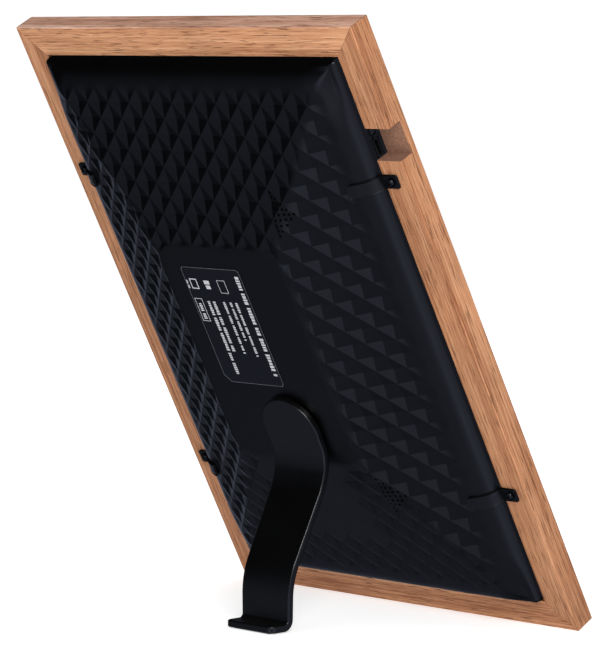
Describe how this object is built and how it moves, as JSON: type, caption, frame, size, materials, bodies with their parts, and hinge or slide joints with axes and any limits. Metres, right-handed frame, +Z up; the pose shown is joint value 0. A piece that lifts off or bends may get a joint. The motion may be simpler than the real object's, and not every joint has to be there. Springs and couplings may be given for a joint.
{
  "type": "digital photo frame",
  "caption": "Wooden table-top digital photo frame with a dimpled plastic back, spring clips and a cranked stand leg that turns for upright or wide use.",
  "frame": {"origin": "middle of the footprint on the table, under the leaning frame", "axes": "+Z up, the picture faces -Y and the stand is on the +Y side, X across the frame"},
  "size_m": [0.188, 0.1324, 0.237],
  "materials": {
    "wood": "open-pored light brown veneer over fibreboard",
    "black_plastic": "satin black moulding",
    "label": "dark printed film",
    "glass": "clear",
    "mat": "off-white card",
    "screen": "display front film",
    "steel": "plain steel",
    "clip_steel": "black spring steel",
    "black_steel": "blackened screw",
    "brass": "plain",
    "tin": "tin plate",
    "board": "green solder mask",
    "chip": "moulded package",
    "flex": "amber film",
    "speaker": "dark frame and cone",
    "rubber": "matt"
  },
  "bodies": {
    "frame_body": {"board_screw_1": "steel", "board_screw_2": "steel", "board_screw_3": "steel", "board_screw_4": "steel", "board_standoff_1": "brass", "board_standoff_2": "brass", "board_standoff_3": "brass", "board_standoff_4": "brass", "button_switch": "tin", "clip_1": "clip_steel", "clip_2": "clip_steel", "clip_3": "clip_steel", "clip_4": "clip_steel", "clip_screw_1": "black_steel", "clip_screw_2": "black_steel", "clip_screw_3": "black_steel", "clip_screw_4": "black_steel", "display_flex": "flex", "display_panel": "screen", "front_glass": "glass", "main_board": "board", "mat_border": "mat", "middle_housing": "black_plastic", "panel_backplate": "steel", "panel_screw_1": "steel", "panel_screw_2": "steel", "panel_screw_3": "steel", "panel_screw_4": "steel", "port_flex": "flex", "power_socket": "black_plastic", "processor": "chip", "rail_bottom": "wood", "rail_left": "wood", "rail_right": "wood", "rail_top": "wood", "rating_label": "label", "rear_shell": "black_plastic", "speaker_lower": "speaker", "speaker_upper": "speaker", "wifi_antenna": "flex", "wifi_shield": "tin"},
    "stand": {"stand_leg": "black_plastic", "foot_pad": "rubber", "spring_washer": "steel", "retaining_washer": "steel", "pivot_screw": "steel"},
    "button": {"power_button": "black_plastic"}
  },
  "joints": [
    {"name": "stand_turn", "type": "hinge", "parent": "frame_body", "child": "stand", "pos_m": [-0.006, 0.00927, 0.07726], "axis": [0, -0.8821, 0.471], "range_deg": [0, 90]},
    {"name": "power_button_press", "type": "slide", "parent": "frame_body", "child": "button", "axis": [1, 0, 0], "range_m": [0, 0.0004], "stiffness_N_per_m": 800, "springref_m": -0.0005}
  ]
}
